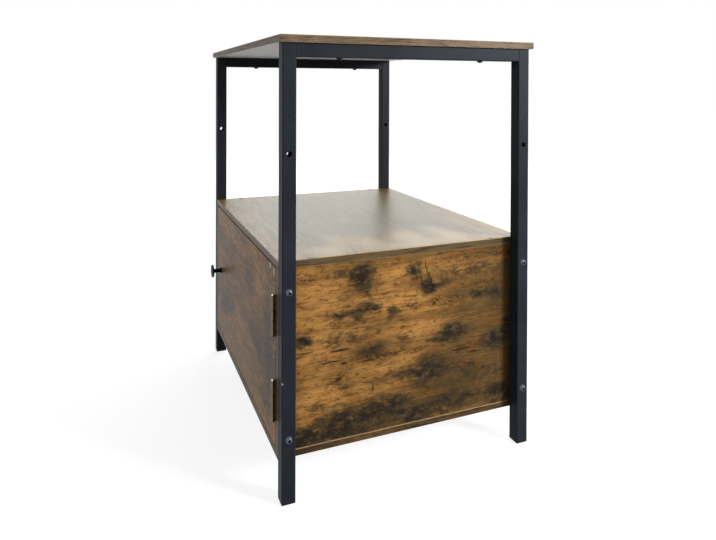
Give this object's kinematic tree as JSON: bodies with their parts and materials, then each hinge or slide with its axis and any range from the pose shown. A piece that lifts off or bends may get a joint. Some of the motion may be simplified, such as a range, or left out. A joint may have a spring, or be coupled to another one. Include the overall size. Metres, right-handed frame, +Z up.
{
  "type": "nightstand",
  "caption": "Nightstand with black square-tube side frames, a thin wood-grain top, an open shelf space and a cabinet whose door swings on butt hinges at the right.",
  "frame": {"origin": "on the floor, in the middle of the overall footprint with the knob counted in", "axes": "+X to the right seen from the door side, +Y from the door to the back, +Z up"},
  "size_m": [0.5, 0.414, 0.61],
  "materials": {
    "powder_coat": "matt black powder coat",
    "foot_plastic": "moulded black polyethylene",
    "wood_grain_board": "rustic brown wood-grain melamine paper on particleboard",
    "door_board": "rustic brown wood-grain melamine paper on particleboard",
    "hardboard": "printed hardboard",
    "bolt_steel": "zinc-plated",
    "black_screw": "black oxide",
    "zinc_steel": "zinc-plated",
    "pin_steel": "bright nickel-plated",
    "hinge_steel": "dark bronzed steel",
    "cap_plastic": "brown cover cap",
    "dowel_wood": "beech",
    "knob_black": "black painted zinc casting",
    "catch_plastic": "moulded brown plastic",
    "magnet": "ferrite"
  },
  "bodies": {
    "stand": {"left_front_leg": "powder_coat", "left_rear_leg": "powder_coat", "right_front_leg": "powder_coat", "right_rear_leg": "powder_coat", "left_top_rail": "powder_coat", "right_top_rail": "powder_coat", "left_front_foot_plug": "foot_plastic", "left_rear_foot_plug": "foot_plastic", "right_front_foot_plug": "foot_plastic", "right_rear_foot_plug": "foot_plastic", "top_board": "wood_grain_board", "cabinet_top_panel": "wood_grain_board", "cabinet_bottom_panel": "wood_grain_board", "cabinet_left_side": "wood_grain_board", "cabinet_right_side": "wood_grain_board", "cabinet_back_panel": "hardboard", "leg_bolts": "bolt_steel", "top_board_screws": "black_screw", "leg_bolt_inserts": "zinc_steel", "cabinet_top_screws": "zinc_steel", "cabinet_bottom_screws": "zinc_steel", "hinge_side_screws": "zinc_steel", "catch_screws": "zinc_steel", "upper_hinge_pin": "pin_steel", "lower_hinge_pin": "pin_steel", "upper_hinge_side_leaf": "hinge_steel", "lower_hinge_side_leaf": "hinge_steel", "cabinet_screw_caps": "cap_plastic", "cabinet_dowels": "dowel_wood", "catch_housing": "catch_plastic", "catch_magnet": "magnet"},
    "door": {"door_panel": "door_board", "door_knob": "knob_black", "knob_screw": "zinc_steel", "strike_plate": "zinc_steel", "strike_screw": "zinc_steel", "hinge_door_screws": "zinc_steel", "upper_hinge_door_leaf": "hinge_steel", "lower_hinge_door_leaf": "hinge_steel"}
  },
  "joints": [
    {"name": "door_hinge", "type": "hinge", "parent": "stand", "child": "door", "pos_m": [0.2148, -0.1922, 0.1795], "axis": [0, 0, 1], "range_deg": [0, 180]}
  ]
}
